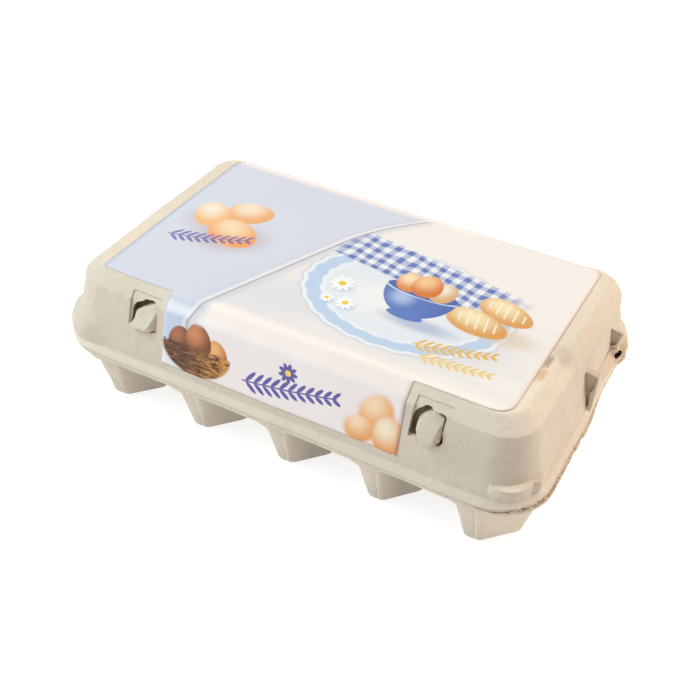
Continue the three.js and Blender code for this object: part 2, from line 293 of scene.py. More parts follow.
def lid_sections(rim):
    """Inset and height of each ring of the lid, for every column."""
    x, y = rim.T
    right, end = x > 0, np.abs(x) > CORE[0]
    angle = np.degrees(np.arctan2(y + CORE[1], np.abs(x) - CORE[0]))

    def on_wall(z):
        return wall_inset(z) - 0.1, z

    plain = band([FLANGE], [1.2])
    ledge_out = band([(1.3, 33.1), (0.4, 40.4), on_wall(41)], [0.3, 0.3, 0.5])
    ledge_in = band([(3.1, 33.9), (3.4, 40.4), on_wall(41)], [0.3, 0.3, 0.5])
    bulge_out = band([(0.2, 33), (0.1, 38.5), (1.9, 43), on_wall(46.5)], [3, 4, 4, 3])
    bulge_in = band([(3, 33.8), (3, 38.5), (4.4, 43), on_wall(46.5)], [3, 4, 4, 3])
    slanted, slanted_back = [
        band([(0.9, 33.2), (1.3, z - 5.6), on_wall(z), (wall_inset(z + 0.5) + 0.5, z + 0.6),
              on_wall(z + 1.2)], [0.4, 0.8, 0.3, 0.3, 0.3]) for z in (41.2, 43.4)]
    rib = band([(1, 33.2), (0.7, 52.7), on_wall(53.6)], [0.3, 0.6, 0.4])
    big_rib = band([(0.9, 33.2), (0.6, 39.5), (2.5, 45.6), (1.3, 53.2), on_wall(55)],
                   [0.4, 0.8, 0.6, 0.6, 0.5])
    big_rib_end = band([(-0.6, 33), (-1.2, 40.4), (0.4, 44.6), (2.8, 47.6), on_wall(49.8)],
                       [1, 3, 2, 1.5, 0.8])

    sections = np.repeat(plain[None], len(rim), axis=0)

    def between(first, second, share):
        return first + (second - first) * share[:, None, None]

    def blend(section, weight):
        sections[:] = between(sections, section, weight)

    def on_rib(low, high):
        return end * plateau(low - 0.15, low + 0.3, high - 0.3, high + 0.15, y)

    blend(between(ledge_out, ledge_in, np.interp(angle, *LEDGE_REACH.T) / 3),
          right * plateau(-79, -74, -9.5, -7.8, angle))
    blend(between(bulge_out, bulge_in, np.interp(angle, *LEFT_REACH.T) / 3),
          ~right * plateau(-114, -66, -4, 12, angle))
    blend(between(slanted, slanted_back, smoothstep(22, 42, y)), end * plateau(6, 8.5, 48, 54, y))
    blend(bulge_out, smoothstep(104, 107, np.abs(x)) * smoothstep(48, 54, y))
    blend(rib, on_rib(*RIBS[0]))
    blend(between(big_rib, big_rib_end, smoothstep(RIBS[1][0] + 0.8, RIBS[1][1] - 3.5, y)), on_rib(*RIBS[1]))

    below = rounded_path([(6, LID_EDGE), (0, LID_EDGE), (0.1, 31.7), RIM_SLOPE], [0.3, 0.8], 0.5)[:-1]
    brim = (wall_inset(BAND_TOP), BAND_TOP)
    inner = [(20, LID_TOP), (24, LID_TOP)]
    bevelled = rounded_path([brim, CREASE, TOP_EDGE] + inner, [0.6, 2.2, 1], 0.12)
    bevelled = resample(bevelled, TOP_RINGS, np.array([CREASE]))[1:]
    full = rounded_path([brim, (8.3, 65.2), (14.8, 70.75)] + inner, [5.5, 5, 1], 0.3)
    full = resample(full, TOP_RINGS)[1:]
    above = np.repeat(bevelled[None], len(rim), axis=0)
    begins = y[:, None] + 8 * smoothstep(63, 70, above[..., 1])
    fullness = (right * smoothstep(84, 108, x))[:, None] * smoothstep(-12, -4, begins)
    above += (full - bevelled)[None] * fullness[..., None]
    swell = (right * smoothstep(20, 50, y) * smoothstep(90, 116, x))[:, None]
    rings = np.concatenate([np.repeat(below[None], len(rim), axis=0), sections, above], axis=1)
    rings[..., 0] -= 0.9 * swell * plateau(40, 52, 66, 71, rings[..., 1])
    return rings


def skin_faces(columns, rings):
    """Quads between rings of points kept column by column, with a cap on each end."""
    faces = []
    for c in range(columns):
        d = (c + 1) % columns
        for r in range(rings - 1):
            faces.append((c * rings + r, d * rings + r, d * rings + r + 1, c * rings + r + 1))
    faces.append(tuple(c * rings for c in reversed(range(columns))))
    faces.append(tuple(c * rings + rings - 1 for c in range(columns)))
    return faces


def fray(points, level, low, high, amount):
    """Ragged bits on the rim between two heights, at the right end and the front right corner."""
    moved = points.copy()
    x, y, z = points.T
    here = smoothstep(92, 116, x) * (1 - smoothstep(56, 70, y)) * (z >= low) * (z <= high)
    bits = sum(share * np.array([noise.noise(Vector((px / length, py / length, level)))
                                 for px, py in points[:, :2]]) for length, share in FRAY_BITS)
    moved[:, 2] += amount * here * (0.3 + bits).clip(0, 1.2)
    moved[:, 0] -= 0.5 * here * bits.clip(0, 1)
    return moved


def settle(points):
    """The pulp's own unevenness above its rim, which the label follows."""
    free = plateau(33, 38, LID_TOP - 0.5, LID_TOP - 0.1, points[:, 2])
    return points + (roughen(points, LID_ROUGH, 1) - points) * free[:, None]


def make_lid():
    rim, drift = lid_columns()
    sections = lid_sections(rim)
    inset, height = sections[..., 0], sections[..., 1]
    xy = rim[:, None, :] + inset[..., None] * drift[:, None, :]
    points = np.concatenate([xy, height[..., None]], axis=2).reshape(-1, 3)
    points[:, 0] += LID_MIDDLE
    points = fray(warp(settle(points), LID_BAY), 3, SEAM - 1, 31.3, 1)
    lid = make_object("lid_shell", points, skin_faces(*sections.shape[:2]))
    for cutter in window_cutters() + rib_cutters():
        cut(lid, cutter)
    tidy(lid, 40)
    return lid


# ---- latch windows and hollows ----

# The torn hole's outline, x and z on the front wall, and the recess's left, right, bottom and top.
RIGHT_HOLE = [(64.5, 49.6), (64.6, 54), (64.9, 58.6), (65.8, 61), (67.3, 63), (69, 64.3),
    (70.8, 65.3), (72.2, 64.8), (74.2, 64), (75.8, 63.6), (78, 64.2), (79.5, 63.5), (80.2, 62),
    (79.8, 58), (79.4, 55), (80.3, 52.6), (80.1, 49.8), (78.8, 49), (72, 49.6), (66.8, 49.4),
    (65.6, 48.8)]
LEFT_HOLE = [(-82, 51.2), (-81.7, 54.5), (-81.5, 58), (-80.9, 60.6), (-78.6, 62.8), (-74.9, 64.8),
    (-71.8, 65.3), (-69.3, 65), (-68, 63.6), (-67.5, 60), (-67.6, 55), (-67.8, 50.8),
    (-70.5, 50), (-76, 50.4)]
WINDOWS = [(RIGHT_HOLE, (64.5, 81.7, 50.4, 67.6)), (LEFT_HOLE, (-82.8, -66.5, 50.4, 67.3))]
RECESS_LEAN = 0.04  # of the recess's sides, to the right as they rise
RECESS_DEPTH = 0.9
PULP_THICKNESS = 1.7
TORN_STEP, TORN_DEPTH = 0.45, 0.26  # spacing of a torn edge's points and how far they stray
OUTSIDE = -90  # y of the cutters' front ends


def prism(name, outline, to_points):
    """A closed prism: to_points gives an outline point's near and far end."""
    near, far = zip(*[to_points(p) for p in outline])
    count = len(outline)
    faces = [tuple(range(count)), tuple(range(2 * count - 1, count - 1, -1))]
    return make_object(name, near + far, faces + belt(0, count, count))


def torn(outline):
    """An outline with the small steps of torn pulp."""
    closed = np.array(outline + outline[:1], float)
    count = int(size(np.diff(closed, axis=0)).sum() / TORN_STEP)
    points = resample(rounded_path(closed, [1.2] * (len(closed) - 2), 0.3), count)[:-1]
    ragged = [noise.noise_vector(Vector((x * 0.9, z * 0.9, 4))) + 0.7 *
              noise.noise_vector(Vector((x * 2.4, z * 2.4, 9))) for x, z in points]
    return points + TORN_DEPTH * np.array(ragged)[:, :2]


def bevel_y(z):
    """Y of the lid's front at a height, on the wall or the bevel above it."""
    share = (z - CREASE[1]) / (TOP_EDGE[1] - CREASE[1])
    return wall_y(z) if share < 0 else CREASE[0] + share * (TOP_EDGE[0] - CREASE[0]) - HALF_Y


def window_cutters():
    """For each latch: its shallow recess, its torn hole and the room behind the wall."""
    cutters = []
    for outline, (left, right, bottom, top) in WINDOWS:
        floor = [(bevel_y(z) + RECESS_DEPTH, z) for z in (top, CREASE[1] + 0.4, bottom + 1)]
        section = [(OUTSIDE, bottom), (OUTSIDE, top)] + floor + [(wall_y(bottom), bottom)]

        def across(p):
            lean = RECESS_LEAN * (p[1] - bottom)
            return (left + lean, *p), (right + lean, *p)

        def through(p):
            return (p[0], OUTSIDE, p[1]), (p[0], wall_y(p[1]) + PULP_THICKNESS + 1, p[1])

        cutters += [prism("recess", section, across), prism("hole", torn(outline), through)]
        low, high = np.array(outline).min(axis=0) - (1, 1), np.array(outline).max(axis=0) + (1, 0.4)
        room = [(wall_y(z) + behind, z) for z, behind in (
            (low[1], PULP_THICKNESS + 0.4), (high[1], PULP_THICKNESS + 0.8), (high[1], 9), (low[1], 9))]
        cutters.append(prism("room", room, lambda p: ((low[0], *p), (high[0], *p))))
    return cutters


def lump(name, hulls):
    """The convex hull of each group of points in millimetres, all as one object."""
    bm = bmesh.new()
    for corners in hulls:
        bmesh.ops.convex_hull(bm, input=[bm.verts.new(Vector(corner) * MM) for corner in corners])
    loose = [v for v in bm.verts if not v.link_faces]
    bmesh.ops.delete(bm, geom=loose, context="VERTS")
    bmesh.ops.recalc_face_normals(bm, faces=bm.faces)
    mesh = bpy.data.meshes.new(name)
    bm.to_mesh(mesh)
    bm.free()
    return add(name, mesh)


TEAR = (124.2, 42.5, 40.2)  # middle of the hole in the far rib
TEAR_TURN = 0.7  # about the sine and cosine of 45 degrees, by which the hole runs askew
TEAR_RADII = (1.2, 0.9, 1.3, 1, 1.4, 0.9, 1.3, 1)


def rib_cutters():
    """Hollows in the right end's ribs, a torn edge on the near one and a hole by the far one."""
    outer = HALF_X + LID_MIDDLE
    near, far = RIBS[0][0], RIBS[1][0]

    def on_wall(*heights):
        return [(outer - wall_inset(z) - 0.2, z) for z in heights]

    hollow = on_wall(34.6, 44, 52.8)
    hollow += [(outer - 1.2, 52), (outer - 1.6, 46), (outer - 3, 42.5), (outer - 2.6, 34.6)]
    big_hollow = on_wall(44.7, 55) + [(outer - 1.7, 53.4), (outer - 2.9, 46.2)]
    cutters = [prism("hollow", outline, lambda p: ((p[0], y - 1.5, p[1]), (p[0] - 0.2, y + depth, p[1])))
               for outline, y, depth in ((hollow, near, 2), (big_hollow, far, 1.3))]
    edge = [(0.6, -1, 51), (-2.2, -1, 43.5), (-2, -1, 34.8), (1.5, -1, 34), (1.5, 3.2, 44),
            (1.5, 3.6, 35)]
    cutters.append(lump("torn_edge", [[(outer + x, near + y, z) for x, y, z in edge]]))
    tear = []
    for end in (2.5, -4.5):
        for k, radius in enumerate(TEAR_RADII):
            a = k * math.tau / len(TEAR_RADII)
            side, up = radius * math.cos(a), 0.9 * radius * math.sin(a)
            tear.append(np.array(TEAR) + (TEAR_TURN * (end + side), TEAR_TURN * (side - end), up))
    cutters.append(lump("tear", [tear]))
    return cutters


# A lock button's lumps by their corners: x, z and depth behind the front wall; less than 0 is proud.
RIGHT_BUTTON = [[(67.4, 58.2, 2.4), (69.1, 60.4, 2.4), (71.9, 62.5, 2.4), (74.3, 62.9, 2.4),
    (76.6, 62.4, 2.2), (79, 61.2, 1.6), (78.7, 59.6, 0.6), (67.9, 56, 0.1), (68.5, 54.3, -1.7),
    (69.5, 51.9, -2.4), (72.5, 50.3, -2.7), (75, 49.9, -2.7), (77, 51, -2.5), (77, 54, -2.2),
    (77.9, 57, -1.3), (79.2, 51, 0.2), (79.1, 55.8, 0.6), (70.2, 49.6, 0.4), (77, 48.8, 0.4)]]
LEFT_BUTTON = [[(-80, 57.4, 2.4), (-74.1, 61.6, 2.6), (-69.1, 63.8, 2.6), (-67.6, 61.2, 1.6),
    (-70.5, 57.1, 0), (-79.6, 54.8, 0.4), (-80.4, 51, 1), (-67.7, 51.2, 1)],
    [(-70.4, 57.4, 0), (-79.6, 54.9, 0.4), (-80.7, 51.9, -2.3), (-79.6, 51, -2.5),
    (-71.2, 52.2, -3.1), (-70.3, 53.6, -3.1), (-67.8, 60.4, 1.6), (-67.8, 51.6, 1),
    (-80.2, 50, 0.4), (-70.5, 50.4, 0.4)]]
BUTTON_DEPTH = 6
BUTTON_VOXEL, BUTTON_SMOOTHING = 0.3, 7


def make_button(name, lumps, seed):
    """Rounded pulp over lumps that run back into the carton."""
    hulls = [[(x, wall_y(z) + depth, z) for x, z, depth in corners] +
             [(x, wall_y(z) + BUTTON_DEPTH, z) for x, z, depth in corners if depth > -0.5]
             for corners in lumps]
    button = lump(name, hulls)
    remesh = button.modifiers.new("remesh", "REMESH")
    remesh.mode = "VOXEL"
    remesh.voxel_size = BUTTON_VOXEL * MM
    button.modifiers.new("smooth", "SMOOTH").iterations = BUTTON_SMOOTHING
    apply_modifiers(button)
    points = np.array([v.co for v in button.data.vertices]) / MM
    for vertex, point in zip(button.data.vertices, roughen(points, BUTTON_ROUGH, seed) * MM):
        vertex.co = point
    tidy(button, 70)
    return button


# ---- tray ----

FOOT_BASE = {"inner": 17.4, "left": 11.6, "end": 18.3, "first": 16.6, "side": 19.3, "flat": 4.2}
FOOT_TOP = {"inner": 24.2, "left": 24.2, "end": 24.9, "first": 24.9, "side": 26.6, "flat": 6.4}
FOOT_CORNER = 2  # radius of its corners
ARC_POINTS, FLAT_POINTS = 5, 5  # of each corner, and between two corners
NARROW = 0.6  # how much of a sole's front flat lies left of its middle
SOLE_ROUND = 1
FOOT_LINE = 1.9  # of the upright groove in a foot's front, right of its middle
RIM_UNDER = SEAM - 1.2
FOOT_HEIGHTS = [0, 0.12, 0.45, 0.9, 1.5, 2.4, 4, 7, 10, 13, 16, 18.5, 20.5, 22, 23.5, 24.8,
                25.8, 26.6, 27.2, 27.6, RIM_UNDER]
FILLET_LEFT, FILLET_RIGHT = 6.3, 2.8  # radii by which a foot's sides flow into the rim
GROOVE_WIDTH, GROOVE_DEPTH = 0.5, 0.35
# Height and inset of each ring of the tray's rim, from its lower outer edge to its top.
RIM_RINGS = [(RIM_UNDER + 0.5, 0), (SEAM - 0.3, 0), (SEAM - 0.08, 0.12), (SEAM, 0.4), (SEAM, 3)]


def foot_reaches(sizes, column, row):
    """How far the foot in a column and row reaches right, back, left and front."""
    return np.array([sizes["end" if column == COLUMNS - 1 else "inner"],
                     sizes["side" if row == ROWS - 1 else "inner"],
                     sizes["first" if column == 0 else "left"],
                     sizes["side" if row == 0 else "inner"]])


def octagon(reaches, flat, left_flat, radius):
    """A rounded eight-sided ring, anticlockwise from its right flat. Each side has an odd number of
    points between its corners, so that just one is nearest to a corner of the foot's cell."""
    right, back, left, front = reaches
    corners = np.array([(right, flat), (flat, back), (-left_flat, back), (-left, flat),
                        (-left, -flat), (-left_flat, -front), (flat, -front), (right, -flat)])
    points = []
    for corner, before, after in zip(corners, np.roll(corners, 1, axis=0), np.roll(corners, -1, axis=0)):
        to_before, to_after = before - corner, after - corner
        reach = min(radius, 0.42 * size(to_before), 0.42 * size(to_after))
        end = corner + to_after / size(to_after) * reach
        following = after - to_after / size(to_after) * reach
        points += arc(corner + to_before / size(to_before) * reach, corner, end, ARC_POINTS)
        points += [end + (following - end) * k / (FLAT_POINTS + 1) for k in range(1, FLAT_POINTS + 1)]
    return np.array(points)


def foot_centre(column, row):
    return np.array([(column - (COLUMNS - 1) / 2) * PITCH + FEET_SHIFT, (row - (ROWS - 1) / 2) * PITCH])


def cell_edge(directions, column, row):
    """Where rays from a foot's middle leave its cell: a square, or the rim with its round corner."""
    centre = foot_centre(column, row)
    half = np.array([HALF_X, HALF_Y])
    high = np.where([column == COLUMNS - 1, row == ROWS - 1], half - centre, PITCH / 2)
    low = np.where([column == 0, row == 0], -half - centre, -PITCH / 2)
    points = []
    for direction in directions:
        way = direction / size(direction)
        limits = np.where(way > 0, high, low)
        place = centre + way * min(limit / part for limit, part in zip(limits, way) if abs(part) > 1e-9)
        if np.all(np.abs(place) > CORE):
            offset = centre - CORE * np.sign(place)
            square = (offset @ way) ** 2 - offset @ offset + RIM_RADIUS ** 2
            place = centre + way * (-offset @ way + math.sqrt(max(0, square)))
        points.append(place)
    points = np.array(points)
    for corner in [centre + (x, y) for x in (low[0], high[0]) for y in (low[1], high[1])]:
        if abs(corner[0]) < HALF_X - 1 or abs(corner[1]) < HALF_Y - 1:
            points[np.argmin(size(points - corner))] = corner
    return points


def foot_rings(column, row):
    """Rings of points from a foot's sole, up its walls and out under the rim to its cell's edge."""
    centre = foot_centre(column, row)
    base, top = foot_reaches(FOOT_BASE, column, row), foot_reaches(FOOT_TOP, column, row)
    rings = []
    for share in (0.2, 0.5, 0.75):
        flat = FOOT_BASE["flat"] * share
        rings.append((octagon(base * share, flat, NARROW * flat, FOOT_CORNER * share), 0))
    for z in FOOT_HEIGHTS:
        share = z / RIM_UNDER
        rounding = SOLE_ROUND * max(0, 1 - z / SOLE_ROUND / 1.6) ** 2
        flat = FOOT_BASE["flat"] + (FOOT_TOP["flat"] - FOOT_BASE["flat"]) * share
        left_flat = flat * (NARROW + (1 - NARROW) * share)
        ring = octagon(base + (top - base) * share - rounding, flat, left_flat, FOOT_CORNER)
        rings.append((ring, z))
    edge = cell_edge(rings[-1][0], column, row) - centre
    limit = size(edge)
    placed = []
    for k, (ring, z) in enumerate(rings):
        length = size(ring)
        way = ring / length[:, None]
        fillet = np.where(way[:, 0] < 0, FILLET_LEFT, FILLET_RIGHT)
        rise = np.clip(z - (RIM_UNDER - fillet), 0, fillet)
        length = length + fillet - np.sqrt(fillet ** 2 - rise ** 2)
        groove = np.exp(-((ring[:, 0] - FOOT_LINE) / GROOVE_WIDTH) ** 2) * (way[:, 1] < 0)
        length -= GROOVE_DEPTH * groove * (0.3 < z < 26)
        length = np.minimum(length, limit - 0.12 * (len(rings) - k))
        placed.append((centre + way * length[:, None], z))
    placed.append((centre + edge, RIM_UNDER))
    return placed


def inside_rim(points, inset):
    """Points of the rim's outline moved in by a distance."""
    core = np.clip(points, -CORE, CORE)
    away = core - points
    return points + inset * away / size(away)[:, None]


def make_tray():
    """All feet and the rim as one closed skin."""
    points, faces = [], []
    for column in range(COLUMNS):
        for row in range(ROWS):
            rings = foot_rings(column, row)
            first, count = len(points), len(rings[0][0])
            for ring, z in rings:
                points += [(x, y, z) for x, y in ring]
            for r in range(len(rings) - 1):
                faces += belt(first + r * count, first + (r + 1) * count, count)
            faces.append(range(first, first + count))
    tray = make_object("tray_shell", points, faces)
    bm = bmesh.new()
    bm.from_mesh(tray.data)
    bmesh.ops.remove_doubles(bm, verts=bm.verts, dist=0.02 * MM)
    bmesh.ops.subdivide_edges(bm, edges=[e for e in bm.edges if e.is_boundary], cuts=2)
    inset_before = 0
    for height, inset in RIM_RINGS:
        rim = [e for e in bm.edges if e.is_boundary]
        lifted = bmesh.ops.extrude_edge_only(bm, edges=rim)["geom"]
        corners = [g for g in lifted if isinstance(g, bmesh.types.BMVert)]
        outline = np.array([v.co[:2] for v in corners]) / MM
        for vertex, (x, y) in zip(corners, inside_rim(outline, inset - inset_before)):
            vertex.co = (x * MM, y * MM, height * MM)
        inset_before = inset
    bmesh.ops.contextual_create(bm, geom=[e for e in bm.edges if e.is_boundary])
    bm.to_mesh(tray.data)
    bm.free()
    points = np.array([v.co for v in tray.data.vertices]) / MM
    free = plateau(0.1, 2, 23, 27, points[:, 2])
    points += (roughen(points, TRAY_ROUGH, 3) - points) * free[:, None]
    points[:, 0] += TRAY_MIDDLE
    points = fray(warp(points, TRAY_BAY), 7, RIM_UNDER, SEAM + 0.5, 0.7)
    for vertex, point in zip(tray.data.vertices, points):
        vertex.co = Vector(point) * MM
    tidy(tray, 50)
    return tray


# ---- label ----

def label_run():
    """Inset and height of half the label's inner side, from its flap's end to the top's middle."""
    low = (wall_inset(FLAP_BOTTOM), FLAP_BOTTOM)
    half = rounded_path([low, CREASE, TOP_EDGE, (HALF_Y, LID_TOP)], [2.4, 2.6], 1.2)
    tangent = np.gradient(half, axis=0)
    tangent /= size(tangent)[:, None]
    outward = np.stack([-tangent[:, 1], tangent[:, 0]], axis=1)
    return half + outward * LABEL_GAP


def make_label():
    """The paper: a wide top and two narrower flaps, with x, run and its cut edge kept for the print."""
    half = label_run()
    lengths = np.concatenate([[0], np.cumsum(size(np.diff(half, axis=0)))])
    run = lengths - lengths[-1]
    limit = abs(run[np.argmin(np.abs(run + HALF_Y - TOP_EDGE[0] + 0.3))])
    rows = np.concatenate([run, -run[-2::-1]])
    section = np.concatenate([half, half[-2::-1]])
    ys = (section[:, 0] - HALF_Y) * np.where(rows > 0, -1, 1)
    index, points, sheet = {}, [], []
    for i, s in enumerate(rows):
        wide = abs(s) <= limit + 1e-6
        ends = []
        for radius in LABEL_CORNERS["front" if s < 0 else "back"]:
            near = max(0, radius - (limit - abs(s)))
            ends.append(radius - math.sqrt(max(0, radius ** 2 - near ** 2)))
        left, right = LABEL_LEFT + ends[0], LABEL_RIGHT - ends[1]
        columns = np.concatenate([np.linspace(left, -FLAP_HALF, SIDE_POINTS)[:-1],
                                  np.linspace(-FLAP_HALF, FLAP_HALF, FLAP_POINTS),
                                  np.linspace(FLAP_HALF, right, SIDE_POINTS)[1:]])
        for j, x in enumerate(columns):
            if wide or 0 <= j - SIDE_POINTS + 1 < FLAP_POINTS:
                index[i, j] = len(points)
                lift = 0.1 * (1 + noise.noise(Vector((x / 24, s / 24, 5)))) * smoothstep(-60, 60, x)
                points.append((x + LID_MIDDLE, ys[i], section[i, 1] + (lift if wide else 0)))
                sheet.append((x, s, 0))
    for (i, j), k in index.items():
        if any((i + di, j + dj) not in index for di in (-1, 0, 1) for dj in (-1, 0, 1)):
            sheet[k] = (*sheet[k][:2], 1)
    faces = []
    for i, j in index:
        corners = [(i, j), (i, j + 1), (i + 1, j + 1), (i + 1, j)]
        if all(c in index for c in corners):
            faces.append([index[c] for c in corners])
    label = make_object("label_sheet", settle(np.array(points)), faces, 80)
    attribute = label.data.attributes.new("sheet", "FLOAT_VECTOR", "POINT")
    attribute.data.foreach_set("vector", np.array(sheet, np.float32).ravel())
    thick = label.modifiers.new("thick", "SOLIDIFY")
    thick.thickness = LABEL_THICKNESS * MM
    thick.offset = 1
    apply_modifiers(label)
    return label


# ---- materials ----

RAGGED_SIZE = 1.8  # of the bits in a ragged outline
BOX_SOFT = 0.3  # width of a painted box's edge
PULP_FINISH = {"Roughness": 0.95, "Specular IOR Level": 0.15}
PULP_BUMP, PAPER_BUMP = 0.35, 0.05
PAPER_SPECULAR = 0.3


class Value:
    """An output of a node. Arithmetic on it adds math nodes."""

    def __init__(self, tree, socket):
        self.tree, self.socket = tree, socket

    def math(self, operation, *others):
        return self.tree.node("Math", self, *others, operation=operation)

    __add__ = partialmethod(math, "ADD")
    __sub__ = partialmethod(math, "SUBTRACT")
    __mul__ = partialmethod(math, "MULTIPLY")
    __truediv__ = partialmethod(math, "DIVIDE")
    __abs__ = partialmethod(math, "ABSOLUTE")

    def step(self, low, high):
        """A smooth step from 0 at low to 1 at high, which may be the lower of the two."""
        ends = (0, 1) if low <= high else (1, 0)
        return self.tree.node("MapRange", self, min(low, high), max(low, high), *ends,
                              interpolation_type="SMOOTHSTEP")

    def within(self, low, high, soft):
        """1 between low and high, fading to 0 over a soft distance outside."""
        return self.step(low - soft, low) * self.step(high + soft, high)

    def inside(self, soft=0.05, edge=1):
        """1 below an edge and 0 above it."""
        return self.step(edge + soft, edge - soft)


class Tree:
    """A material, with short ways to add nodes and the colour that is painted so far."""

    def __init__(self, name):
        self.material = bpy.data.materials.new(name)
        self.material.use_nodes = True
        self.nodes = self.material.node_tree.nodes
        self.color = None

    def put(self, socket, value):
        """Links a value to a socket, or sets a number, a vector or a colour on it."""
        if isinstance(value, Value):
            self.material.node_tree.links.new(value.socket, socket)
        else:
            socket.default_value = (*value, 1) if socket.type == "RGBA" else value

    def node(self, kind, *values, inputs=None, output=0, **settings):
        """An output of a new node, whose inputs are given in order or by name."""
        node = self.nodes.new("ShaderNode" + kind)
        for name, value in settings.items():
            setattr(node, name, value)
        for key, value in (inputs or dict(enumerate(values))).items():
            self.put(node.inputs[key], value)
        return Value(self, node.outputs[output])

    def mix(self, share, a, b):
        return self.node("Mix", inputs={0: share, 6: a, 7: b}, output=2, data_type="RGBA", clamp_factor=True)

    def paint(self, mask, tone, amount=1):
        """Lays a tone over what is painted so far."""
        self.color = self.mix(mask * amount, self.color, tone)

    def vector(self, operation, *vectors, output=0):
        return self.node("VectorMath", *vectors, operation=operation, output=output)

    def on_object(self, stretch=(1, 1, 1)):
        """The place on the object in millimetres, stretched by a scale."""
        return self.vector("MULTIPLY", self.node("TexCoord", output="Object"), [s / MM for s in stretch])

    def noise(self, place, size, detail=2, roughness=0.5):
        """Noise around 0.5 with features of a size."""
        return self.node("TexNoise", inputs={"Vector": place, "Scale": 1 / size, "Detail": detail,
                                             "Roughness": roughness})

    def split(self, vector):
        return [self.node("SeparateXYZ", vector, output=k) for k in range(3)]

    def far(self, place, middle, reach, ragged=0):
        """Distance from a point, as a share of a reach along x, y and z."""
        away = self.vector("DIVIDE", self.vector("SUBTRACT", place, middle), reach)
        rough = (self.noise(place, RAGGED_SIZE, 3) - 0.5) * (2 * ragged)
        return rough + self.vector("LENGTH", away, output=1)

    def surface(self, inputs, height=None, depth=0):
        """Sets the shader's inputs by name, with a bump of a depth in millimetres."""
        if height:
            inputs["Normal"] = self.node("Bump", inputs={"Distance": depth * MM, "Height": height})
        for name, value in inputs.items():
            self.put(self.nodes["Principled BSDF"].inputs[name], value)
        return self.material


# A stain on the far rib, brown spots by the label's right edge, and painted shade on the front wall's right
# part and in the dent by the label's right edge: middle, reach, colour and amount.
STAINS_AND_SHADE = [((98, -70, 47), (36, 16, 15), (0.5, 0.43, 0.34), 0.22),
          ((125.5, 47, 42), (4, 9, 8), (0.5, 0.33, 0.12), 0.4),
          ((106.3, -18.5, 70.6), (2.4, 8, 3), (0.34, 0.24, 0.16), 0.8),
          ((106.4, -28.5, 70.4), (3.6, 8.5, 4), (0.62, 0.41, 0.21), 0.75),
          ((109.3, -10, 69.6), (8.5, 8.5, 6.5), (0.48, 0.42, 0.33), 0.6)]
SHADE = (0.36, 0.32, 0.27)  # of the feet's lower parts and of their right sides
# Boxes painted with shade in the ribs' hollows, by their lowest and highest corners.
SHADED_RIB_HOLLOWS = [((116, 4.7, 34.4), (124.2, 7.4, 52.6)), ((116, 41.2, 44.5), (123.9, 45, 53.2))]
RIM_LINE = SEAM + 0.6  # height of the middle of the rim's dark flecks


